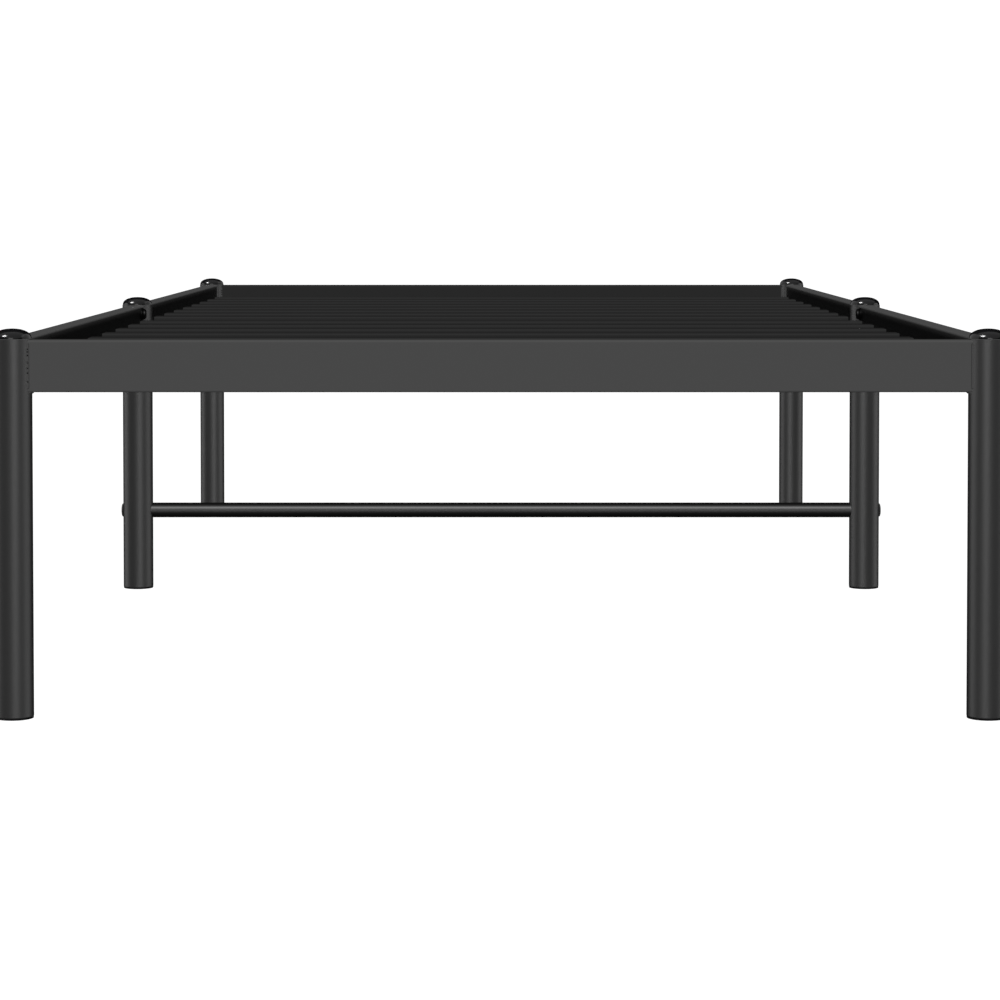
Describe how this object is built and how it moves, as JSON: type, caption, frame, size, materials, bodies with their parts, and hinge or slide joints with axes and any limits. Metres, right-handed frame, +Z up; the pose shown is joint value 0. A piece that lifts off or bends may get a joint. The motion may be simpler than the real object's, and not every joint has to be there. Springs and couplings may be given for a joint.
{
  "type": "metal bed frame",
  "caption": "Low black metal platform bed frame with round tube legs, box-section rails, cross slats and a middle stretcher, without a headboard.",
  "frame": {"origin": "on the floor under the middle of the bed, at the bottom centre of the bounding box", "axes": "+Y along the bed towards the far end, +X across the bed to the right, +Z up"},
  "size_m": [0.974, 2.07, 0.3735],
  "materials": {
    "black_powder_coat": "satin black powder coat on steel",
    "black_cap_plastic": "gloss black plastic",
    "black_foot_plastic": "matt black plastic",
    "black_bolt_steel": "black coated steel, slight gloss",
    "zinc_steel": "zinc plated steel"
  },
  "bodies": {
    "root": {"leg_front_left": "black_powder_coat", "leg_front_right": "black_powder_coat", "leg_middle_left": "black_powder_coat", "leg_middle_right": "black_powder_coat", "leg_rear_left": "black_powder_coat", "leg_rear_right": "black_powder_coat", "leg_cap_front_left": "black_cap_plastic", "leg_cap_front_right": "black_cap_plastic", "leg_cap_middle_left": "black_cap_plastic", "leg_cap_middle_right": "black_cap_plastic", "leg_cap_rear_left": "black_cap_plastic", "leg_cap_rear_right": "black_cap_plastic", "foot_plug_front_left": "black_foot_plastic", "foot_plug_front_right": "black_foot_plastic", "foot_plug_middle_left": "black_foot_plastic", "foot_plug_middle_right": "black_foot_plastic", "foot_plug_rear_left": "black_foot_plastic", "foot_plug_rear_right": "black_foot_plastic", "front_rail": "black_powder_coat", "rear_rail": "black_powder_coat", "side_rail_front_left": "black_powder_coat", "side_rail_front_right": "black_powder_coat", "side_rail_rear_left": "black_powder_coat", "side_rail_rear_right": "black_powder_coat", "slat_01": "black_powder_coat", "slat_02": "black_powder_coat", "slat_03": "black_powder_coat", "slat_04": "black_powder_coat", "slat_05": "black_powder_coat", "slat_06": "black_powder_coat", "slat_07": "black_powder_coat", "slat_08": "black_powder_coat", "slat_09": "black_powder_coat", "slat_10": "black_powder_coat", "slat_11": "black_powder_coat", "slat_12": "black_powder_coat", "slat_13": "black_powder_coat", "slat_14": "black_powder_coat", "slat_15": "black_powder_coat", "slat_16": "black_powder_coat", "stretcher": "black_powder_coat", "stretcher_inserts": "zinc_steel", "stretcher_bolts": "black_bolt_steel", "rail_tongue_front_left": "black_powder_coat", "rail_tongue_front_right": "black_powder_coat", "rail_tongue_rear_left": "black_powder_coat", "rail_tongue_rear_right": "black_powder_coat", "rail_bolts": "black_bolt_steel", "rail_washers": "black_bolt_steel", "rail_nuts": "zinc_steel"}
  },
  "joints": []
}
